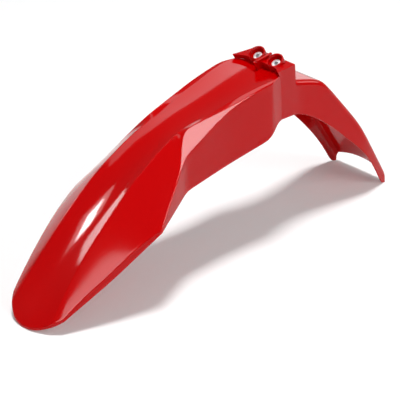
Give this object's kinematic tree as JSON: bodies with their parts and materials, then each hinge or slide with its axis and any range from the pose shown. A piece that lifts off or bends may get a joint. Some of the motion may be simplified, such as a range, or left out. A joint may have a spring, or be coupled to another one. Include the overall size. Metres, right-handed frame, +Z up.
{
  "type": "motorcycle front mudguard",
  "caption": "Glossy red one-piece front mudguard for an off-road motorcycle, with a creased nose, side flanks, a raised bolt block, a sloping tail and metal bolt collars.",
  "frame": {"origin": "on the table below the middle of the mudguard as it lies on its nose and its two tail corners", "axes": "+X forward to the nose, +Y to the rider's left, +Z up"},
  "size_m": [0.7, 0.1866, 0.2752],
  "materials": {
    "plastic": "glossy, coloured through",
    "collar": "bright zinc plated"
  },
  "bodies": {
    "root": {"mudguard_shell": "plastic", "front_collars": "collar", "rear_collars": "collar"}
  },
  "joints": []
}
